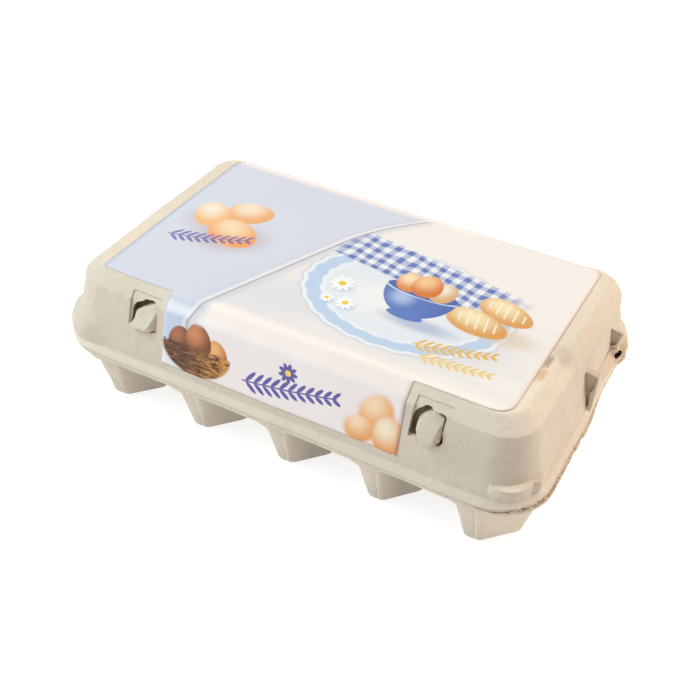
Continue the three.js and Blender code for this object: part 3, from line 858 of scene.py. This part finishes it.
def pulp_marks(p, place):
    """Dark hollows, pale edges, the stains, and the shade and the lines on the feet."""
    x, y, z = p.split(place)

    def box(low, high):
        sides = [value.within(*limits, BOX_SOFT) for value, limits in zip((x, y, z), zip(low, high))]
        return sides[0] * sides[1] * sides[2]

    # Painted shade on what shows through the latch windows and in the hollows in the ribs, then on the far
    # rib painted light on its shaded face, a warm tint and painted shade along a crease.
    # Painted shade on the pulp seen through the latch windows, beyond a depth behind the front wall.
    depth = z * -WALL_SLOPE + y
    behind_wall_shade = depth.step(2.2 + wall_y(0), 3.2 + wall_y(0))
    p.paint(box((-86, -75, 47), (86, -50, 65)) * behind_wall_shade, (0.6, 0.51, 0.36))
    # Painted shade in the ribs' hollows.
    for low, high in SHADED_RIB_HOLLOWS:
        p.paint(box(low, high), (0.7, 0.61, 0.48))
    # Painted light: the far rib's near face below its hollow, which lies in shade, painted paler.
    p.paint(box((119, 40, 38.5), (126, 42.2, 44.2)), (1, 0.88, 0.7), 0.6)
    flushed = p.far(place, (124.5, 44, 38), (7, 26, 13)).step(1, 0.2)
    p.paint(flushed, (0.74, 0.5, 0.27), 0.42)
    # Painted shade along the crease of the right end's slanted ledge between the ribs.
    crease_shade = (y * -0.11 + z).within(39, 39.7, 0.5) * box((117, 22, 38), (122.4, 41, 46))
    p.paint(crease_shade, (0.42, 0.25, 0.12), 0.75)

    # Painted light on the bevel and on the rim's upper slope, painted shade on the feet's lower parts, and
    # brown flecks and painted shade in the seam's gap along the rim's right end.
    # Painted light on the front left bevel, on the band above the wall and on the rim's upper slope.
    painted_bevel_light = x.step(-100, -50) * y.step(-3, -10) * z.step(63.4, 64.2)
    soft = (z.step(60, 70) * 0.35).math("MAXIMUM", z.within(31.2, 33.2, 0.6))
    p.paint(painted_bevel_light.math("MAXIMUM", soft), (0.9, 0.85, 0.7), 0.32)
    # Painted shade, darker towards the soles, except at the right end.
    p.paint(z.step(17, 1) * x.step(118, 108), SHADE, 0.22)
    right_end = x.step(84, 116) * abs(z - RIM_LINE).step(2, 0.4)
    p.paint(right_end * p.noise(place, 2.4, 3).step(0.42, 0.66), (0.55, 0.36, 0.2), 0.5)
    # Painted shade in the gap between lid and tray along the right end.
    gap = x.step(84, 112) * z.within(SEAM - 0.02, SEAM + 0.16, 0.14)
    p.paint(gap * p.noise(place, 6).step(0.36, 0.52), (0.24, 0.14, 0.08), 0.55)
    # The stain, the brown spots and the painted shade listed above.
    for middle, reach, tone, amount in STAINS_AND_SHADE:
        p.paint(p.far(place, middle, reach, 0.35).step(1, 0.2), tone, amount)

    # Painted shade: the torn hole's inside painted near black, as seen along the hole.
    along = p.node("CombineXYZ", (x + y) * TEAR_TURN, 0, z)
    hole = p.far(along, (TEAR_TURN * (TEAR[0] + TEAR[1]), 0, TEAR[2]), (2.2, 1, 2.1), 0.35)
    p.paint(hole.step(1.02, 0.96) * box((119, 38, 36), (125.6, 47, 44)), (0.012, 0.01, 0.008))

    # The feet, by the distance across each from its middle: painted shade on their right sides, painted
    # light on the last foot's right side, and painted shade and a painted highlight along each front groove.
    foot = x - (FEET_SHIFT + TRAY_MIDDLE + PITCH / 2)
    across = foot.math("FLOORED_MODULO", PITCH) - PITCH / 2
    beside = across.step(1, 13) * z.step(27.5, 24)
    # Painted shade on the right sides of all but the last foot.
    p.paint(beside * x.step(84, 76) * (x.step(-30, 0) * 0.17 + 0.62), SHADE)
    # Painted light on the last foot's right side.
    p.paint(beside * x.step(84, 92), (0.95, 0.84, 0.64), 0.37)
    front = y.step(-61, -63) * z.within(1.5, 24, 2)
    # Painted shade in each front groove, and a painted highlight right of it.
    p.paint(front * across.within(FOOT_LINE - 0.2, FOOT_LINE + 0.2, 0.35), (0.3, 0.26, 0.2), 0.16)
    p.paint(front * across.within(FOOT_LINE + 0.9, FOOT_LINE + 1.4, 0.4), (0.85, 0.78, 0.66), 0.3)


def pulp_material(name, base, shade):
    """Grey-beige moulded pulp: blotches, fine grain, stray fibres and a matt, felted surface."""
    p = Tree(name)
    place = p.on_object()
    cloud = p.noise(place, 5, 3)
    grain = p.noise(place, 1.1, 3, 0.65)
    streaks = p.noise(p.on_object((1, 1, 0.16)), 1.6, 2)
    fibres = p.noise(p.on_object((1, 1, 2.2)), 0.75, 4, 0.75)
    p.color = p.mix(p.noise(place, 26, 3).step(0.3, 0.7), base, shade)
    p.paint(cloud.step(0.45, 0.75), 0.9 * shade, 0.4)
    p.paint(grain.step(0.4, 0.7), 1.1 * base, 0.45)
    p.paint(streaks.step(0.5, 0.72), 0.9 * shade, 0.28)
    p.paint(fibres.step(0.68, 0.76), 0.72 * shade, 0.35)
    pulp_marks(p, place)
    height = grain * 0.6 + fibres * 0.4 + cloud * 1.1
    return p.surface({"Base Color": p.color, **PULP_FINISH}, height, PULP_BUMP)


def distance(a, b):
    return (a * a + b * b).math("SQRT")


class Print(Tree):
    """A printed sheet: simple shapes painted one over another by x and run, in millimetres."""

    def __init__(self, name):
        super().__init__(name)
        self.place = self.node("Attribute", output="Vector", attribute_name="sheet")
        self.x, self.run, self.edge = self.split(self.place)

    def turned(self, cx, cy, angle):
        """Coordinates about a point, turned by an angle in degrees."""
        a = math.radians(angle)
        dx, dy = self.x - cx, self.run - cy
        return dx * math.cos(a) + dy * math.sin(a), dx * -math.sin(a) + dy * math.cos(a)

    def oval(self, cx, cy, rx, ry, angle=0, taper=0):
        """Distance from an oval's middle as a share of its outline; rx and ry are its radii."""
        u, v = self.turned(cx, cy, angle)
        a, b = u / rx, v / ry
        return distance(a, b / (a * -taper + 1) if taper else b)

    def glow(self, cx, cy, rx, ry, angle, tone, amount):
        """A tone that fades out from a point."""
        self.paint(self.oval(cx, cy, rx, ry, angle).step(1, 0.25), tone, amount)

    def egg(self, cx, cy, rx, ry, angle, light, dark, soft=0.06):
        """A plain egg lit from its upper left."""
        lit = self.oval(cx - 0.25 * rx, cy + 0.45 * ry, 1.45 * rx, 1.6 * ry, angle)
        body = self.mix(lit.step(0.05, 0.85), light, dark)
        self.paint(self.oval(cx, cy, rx, ry, angle, 0.12).inside(soft), body)

    def sprig(self, cx, cy, angle, length, width, pitch, tone, bend=0, amount=1):
        """A bent stem with slanted leaves on both sides, smaller towards its tip."""
        u, v = self.turned(cx, cy, angle)
        off = abs(u * u * -bend + v)
        slant = off * -0.9 + u
        along = ((slant / pitch).math("FRACT") - 0.5) / 0.3
        outward = off / (u * (-0.2 * width / length) + 0.5 * width) - 1
        leaf = distance(along, outward).inside(0.2) * slant.within(0.1, length - 0.1, 0.2)
        stem = off.step(0.5, 0.25) * u.step(-0.3, 0.3) * u.step(length, length - 1)
        self.paint(leaf.math("MAXIMUM", stem), tone, amount)

    def daisy(self, cx, cy, radius, petal, heart):
        u, v = self.turned(cx, cy, 0)
        petals = abs((v.math("ARCTAN2", u) * 4.5).math("COSINE"))
        reach = petals * (0.4 * radius) + 0.6 * radius
        self.paint((distance(u, v) / reach).inside(0.1), petal)
        self.paint(self.oval(cx, cy, 0.3 * radius, 0.3 * radius).inside(0.1), heart)

    def check(self, cx, cy, rx, ry, angle, square, light, dark):
        """A strip of gingham cloth with soft folds and faded ends."""
        u, v = self.turned(cx, cy, angle)
        fold = self.noise(self.place, 18, 1) * 9 - 4.5
        across, down = [((fold * share + w) * (math.pi / square)).math("SINE").step(-0.3, 0.3)
                        for w, share in ((u, 0.35), (v, 1))]
        faded = abs(u).step(rx, 0.62 * rx) * abs(v).step(ry, 0.86 * ry)
        self.paint(faded, self.mix((across + down) * 0.5, light, dark))


# How much brighter than its own colour the paper looks in the studio, on the top and on the flap.
TOP_LIGHT = (1.23, 1.15, 1.115)
FLAP_LIGHT = (1.02, 1.05, 1.07)


def ink(tone, light=(1, 1, 1)):
    """Linear colour that looks like an 8-bit one in a light."""
    shares = [v / 255 for v in tone]
    linear = [v / 12.92 if v <= 0.04045 else ((v + 0.055) / 1.055) ** 2.4 for v in shares]
    return [v / bright for v, bright in zip(linear, light)]


def top(*tone):
    return ink(tone, TOP_LIGHT)


def flap(*tone):
    return ink(tone, FLAP_LIGHT)


def paint_table(p):
    """The cream side of the top: a checked cloth, a dish, a bowl of eggs, rolls and flowers."""
    grain = p.noise(p.vector("MULTIPLY", p.place, (0.07, 1, 1)), 4.2, 3, 0.6)
    boards = p.x.step(20, 70) * p.run.step(16, -4) * p.run.step(-60, -48)
    p.paint(grain.step(0.5, 0.62) * boards, top(237, 233, 233), 0.55)
    p.paint(grain.step(0.46, 0.36) * boards, top(243, 235, 226), 0.8)
    p.glow(-10, -36, 40, 22, 20, top(214, 213, 222), 0.3)

    u, v = p.turned(34, -11, 0)
    wave = ((v / 0.73).math("ARCTAN2", u) * 26).math("COSINE")
    dish = p.oval(34, -11, 52, 38) * (wave * 0.011 + 1)
    p.glow(44, -22, 64, 38, 0, top(203, 205, 217), 0.75)
    p.paint(dish.inside(0.012), top(243, 242, 241))
    p.paint(dish.inside(0.012, 0.95) * dish.step(0.8, 0.82), top(192, 211, 233), 0.95)
    p.paint(dish.inside(0.03, 0.77), top(232, 235, 238))
    p.glow(28, -16, 36, 22, 0, top(247, 243, 238), 0.9)
    p.paint(dish.step(1.03, 1) * dish.step(0.985, 1), top(206, 209, 220), 0.7)

    p.check(22, 15, 70, 13.5, -9, 3.4, top(244, 243, 243), top(104, 126, 188))
    p.glow(80, -13, 28, 10, 0, top(226, 203, 172), 0.7)
    for cx, cy, rx, ry, angle in ((78, 4, 14, 8.4, -16), (69, -10, 15.5, 8.8, -10)):
        p.egg(cx, cy, rx, ry, angle, top(253, 232, 184), top(226, 160, 88), 0.05)
        u, v = p.turned(cx, cy, angle)
        slash = (v * 0.5 + u * 1.35).math("COSINE").step(0.6, 0.9)
        core = p.oval(cx, cy + 1, rx * 0.76, ry * 0.62, angle).inside(0.1)
        p.paint(slash * core, top(255, 244, 214), 0.85)

    p.glow(46, -25, 26, 7, 0, top(176, 186, 210), 0.8)
    rim = p.oval(38, -1, 18, 4.8)
    p.paint(rim.inside(0.04), top(84, 106, 166))
    p.egg(29.5, 3.5, 8.2, 6.6, 100, top(253, 226, 184), top(226, 140, 76))
    p.egg(46.5, 3, 8.2, 6.6, 75, top(250, 240, 220), top(222, 176, 122))
    p.egg(38, 4.5, 9.2, 7.4, 92, top(252, 205, 148), top(221, 122, 58))
    bowl = p.oval(38, -1, 18, 21).inside(0.02) * rim.step(0.97, 1.03) * p.run.step(-0.9, -1.1)
    foot = p.oval(38, -21.5, 9, 3).inside(0.06)
    gloss = p.oval(31, -9, 9, 10, 20).step(1, 0.1)
    p.paint(bowl.math("MAXIMUM", foot), p.mix(gloss, top(96, 126, 192), top(176, 196, 230)))
    p.paint(bowl * p.x.step(38, 56), top(72, 98, 168), 0.6)
    p.paint(rim.step(1.16, 1.1) * rim.step(1, 1.04) * bowl, top(226, 233, 244), 0.9)

    for cx, cy, radius in ((2, -14, 6.2), (10.5, -27, 5), (1, -27.5, 3.6)):
        p.glow(cx + 1.2, cy - 1.6, radius * 1.3, radius * 1.1, 0, top(178, 192, 220), 0.8)
        p.daisy(cx, cy, radius, top(252, 250, 246), top(246, 206, 60))
    p.sprig(50, -38, 9, 37, 4.6, 3.7, top(232, 190, 104), 0.003)
    p.sprig(56, -44, 1, 33.3, 4.2, 3.7, top(241, 210, 136), 0.002)


def paint_field(p):
    """The blue side of the top, its lifted edge over the cream side, a painted highlight along the label's
    fold, and a clutch of plain eggs.
    """
    run = p.run.math("MINIMUM", 71).math("MAXIMUM", -71)
    bend = (run - 18).math("MAXIMUM", 0)
    past = p.x - (run * 0.4 + (bend * bend * 0.0085 - 21.5))
    p.paint(past.step(8, 0), top(203, 201, 209), 0.6)
    p.paint(past.step(1.7, 0.4), top(168, 166, 177), 0.8)
    cloudy = (p.noise(p.place, 60, 1) * 24 + p.run).step(-45, 20)
    high = p.mix(cloudy, top(219, 219, 228), top(221, 221, 229))
    field = past.step(0.25, -0.25)
    p.paint(field, p.mix(p.run.step(-60, -74), high, flap(196, 211, 232)))
    # Painted highlight along the label's fold into the flap.
    fold = p.run.step(-62.5, -66) * p.run.step(-70.5, -67.5)
    for mask, tone, amount in ((past.step(-9, -1), top(208, 210, 224), 0.5),
                               (past.step(-2.8, -1.7), top(243, 236, 231), 0.9),
                               (p.run.step(-82, -95), flap(236, 236, 238), 0.9),
                               (fold, flap(240, 243, 249), 0.65)):
        p.paint(mask * field, tone, amount)

    p.glow(-64, -9, 27, 17, 20, top(202, 184, 186), 0.8)
    p.glow(-84, -2, 17, 13, 0, top(208, 196, 200), 0.6)
    p.egg(-67.5, 15, 12.5, 9.8, 24, top(254, 231, 203), top(244, 176, 116))
    p.egg(-84, 5, 11.5, 9, 118, top(255, 238, 214), top(250, 190, 126))
    p.egg(-65, -5, 14.2, 10.8, -22, top(254, 223, 182), top(247, 166, 98))
    p.glow(-65, -14, 10, 3.6, -20, top(252, 190, 130), 0.7)
    p.sprig(-93, -21, 12, 41, 5.4, 4.1, top(112, 104, 172), 0.004, 0.85)


def paint_flaps(p):
    """Both flaps: a painted highlight along the fold on the cream side, a straw nest of eggs, a long sprig
    and softly blurred eggs.
    """
    x, run = p.x, p.run
    p.x, p.run = x * run.math("SIGN") * -1, abs(run) * -1  # the back flap is the front one turned
    # Painted highlight along the label's fold on the cream side.
    fold = p.run.step(-54, -60) * p.run.step(-70, -66.5)
    p.paint(fold * p.x.step(-44, -38), flap(246, 238, 230), 0.9)
    before = p.color

    for oval in ((50, -80.5, 9.8, 8.4, 70), (43, -91, 8, 6.6, 20)):
        p.egg(*oval, flap(247, 222, 182), flap(234, 166, 98), 0.2)
    p.egg(57.5, -90, 10.5, 8.5, 95, flap(248, 236, 208), flap(236, 156, 84), 0.14)

    p.egg(-52.5, -81.5, 7.6, 6.08, 80, flap(176, 112, 76), flap(96, 56, 36))
    p.egg(-32.5, -82, 7, 5.6, 105, flap(238, 184, 116), flap(196, 120, 56))
    p.egg(-42.5, -78.5, 8.8, 7.04, 92, flap(206, 138, 90), flap(124, 66, 42))
    strand = p.noise(p.vector("MULTIPLY", p.place, (0.3, 1, 1)), 1.3, 4, 0.7)
    nest = p.oval(-43.5, -84, 18.5, 13.5).inside() * (strand * 5 + (p.run - 2.5)).step(-82, -84)
    tone = p.mix(strand.step(0.38, 0.52), flap(62, 40, 28), flap(104, 64, 40))
    tone = p.mix(strand.step(0.56, 0.7), tone, flap(206, 148, 74))
    p.paint(nest, p.mix(p.x.step(-52, -28) * strand.step(0.42, 0.56), tone, flap(206, 146, 70)))

    p.sprig(-18, -89.5, 7, 49.5, 5.8, 4.5, flap(96, 87, 166), 0.001)
    p.daisy(5, -77.5, 5, flap(96, 87, 166), flap(246, 214, 92))
    p.color = p.mix(p.run.step(-69, -71.5), before, p.color)
    p.x, p.run = x, run


def label_material():
    """Printed paper: a cream and a blue field with plain eggs, a laid table and leaf sprigs."""
    p = Print("label_print")
    cream = p.mix((p.run * 0.8 + p.x).step(-90, 40), top(237, 231, 227), top(249, 240, 231))
    p.color = p.mix(abs(p.run).step(58, 72), cream, flap(240, 236, 234))
    paint_table(p)
    paint_field(p)
    paint_flaps(p)
    fibre = p.noise(p.place, 0.9, 3, 0.6)
    p.paint(p.noise(p.place, 22, 2), ink((196, 188, 176)), 0.06)
    p.paint(p.edge.step(0.8, 0.97), ink((214, 190, 166)), 0.8)
    finish = {"Roughness": fibre * 0.12 + 0.42, "Specular IOR Level": PAPER_SPECULAR}
    height = fibre + p.noise(p.place, 14, 2) * 4
    return p.surface({"Base Color": p.color, **finish}, height, PAPER_BUMP)


# ---- stage ----

CAMERA_AZIMUTH, CAMERA_ELEVATION, CAMERA_ROLL = 26.57, 38.69, 2.80
CAMERA_TARGET = Vector((8.09, -15.99, 35))
CAMERA_DISTANCE = 539.58
FOCAL_PIXELS, IMAGE_SIDE = 1106.54, 700
SENSOR = 36
# Each light's azimuth, elevation, distance and side in metres, power in watts, and colour.
LIGHTS = {"key": (-57, 45, 1.15, 0.75, 11.6, (0.83, 0.97, 1)),
          "warm": (130, 38, 1.4, 0.9, 16.8, (1, 0.87, 0.715))}
LIGHTS_CENTRE = Vector((0, 0, 0.04))
SKY = (0.323, 0.257, 0.281)
FLOOR_HALF = 4000
FLOOR_TONES = (0.295, 0.295, 0.29), (0.31, 0.31, 0.305)
FLOOR_GLOW = 0.78  # keeps the carton's shadows pale


def towards(azimuth, elevation):
    """The way to a place around the carton; azimuth 0 is in front of it, 90 on its right."""
    az, el = math.radians(azimuth), math.radians(elevation)
    return Vector((math.sin(az) * math.cos(el), -math.cos(az) * math.cos(el), math.sin(el)))


def make_camera():
    back, right = towards(CAMERA_AZIMUTH, CAMERA_ELEVATION), towards(CAMERA_AZIMUTH + 90, 0)
    up, roll = back.cross(right), math.radians(CAMERA_ROLL)
    across = right * math.cos(roll) + up * math.sin(roll)
    upward = up * math.cos(roll) - right * math.sin(roll)
    data = bpy.data.cameras.new("camera")
    data.sensor_width = SENSOR
    data.lens = SENSOR * FOCAL_PIXELS / IMAGE_SIDE
    camera = add("camera", data)
    matrix = Matrix((across, upward, back)).transposed().to_4x4()
    matrix.translation = (CAMERA_TARGET + back * CAMERA_DISTANCE) * MM
    camera.matrix_world = matrix
    bpy.context.scene.camera = camera


def soft_light(name, azimuth, elevation, distance, side, watts, color):
    """A square light that faces the carton."""
    away = towards(azimuth, elevation)
    data = bpy.data.lights.new(name, "AREA")
    data.size, data.energy, data.color = side, watts, color
    lamp = add(name, data)
    lamp.location = away * distance + LIGHTS_CENTRE
    lamp.rotation_euler = away.to_track_quat("Z", "Y").to_euler()


def make_stage():
    corners = [(x * FLOOR_HALF, y * FLOOR_HALF, 0) for x, y in ((-1, -1), (1, -1), (1, 1), (-1, 1))]
    floor = make_object("floor", corners, [(0, 1, 2, 3)])
    tree = Tree("floor_paint")
    tone = tree.mix(tree.noise(tree.on_object(), 60), *FLOOR_TONES)
    floor.data.materials.append(tree.surface({"Base Color": tone, "Roughness": 0.8,
                                              "Emission Color": (1, 1, 1), "Emission Strength": FLOOR_GLOW}))
    world = bpy.data.worlds.new("studio")
    world.use_nodes = True
    world.node_tree.nodes["Background"].inputs["Color"].default_value = (*SKY, 1)
    bpy.context.scene.world = world
    for name, light in LIGHTS.items():
        soft_light(name, *light)
    bpy.context.scene.view_settings.view_transform = "Standard"


# ---- the carton ----

PULP_BASE = np.array([0.70, 0.63, 0.51])
PULP_SHADE = np.array([0.66, 0.59, 0.475])
LID_TONE, TRAY_TONE = 0.97, 1.03  # how much brighter than that each half is


def dress(obj, material, node):
    obj.data.materials.clear()
    obj.data.materials.append(material)
    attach(obj, "root")
    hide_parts(node)


make_camera()
make_stage()
pulp = pulp_material("pulp", LID_TONE * PULP_BASE, LID_TONE * PULP_SHADE)
tray_pulp = pulp_material("tray_pulp", TRAY_TONE * PULP_BASE, TRAY_TONE * PULP_SHADE)
dress(make_lid(), pulp, "lid")
dress(make_tray(), tray_pulp, "tray")
dress(make_button("button_left", LEFT_BUTTON, 5), pulp, "latch_left")
dress(make_button("button_right", RIGHT_BUTTON, 6), pulp, "latch_right")
dress(make_label(), label_material(), "label")
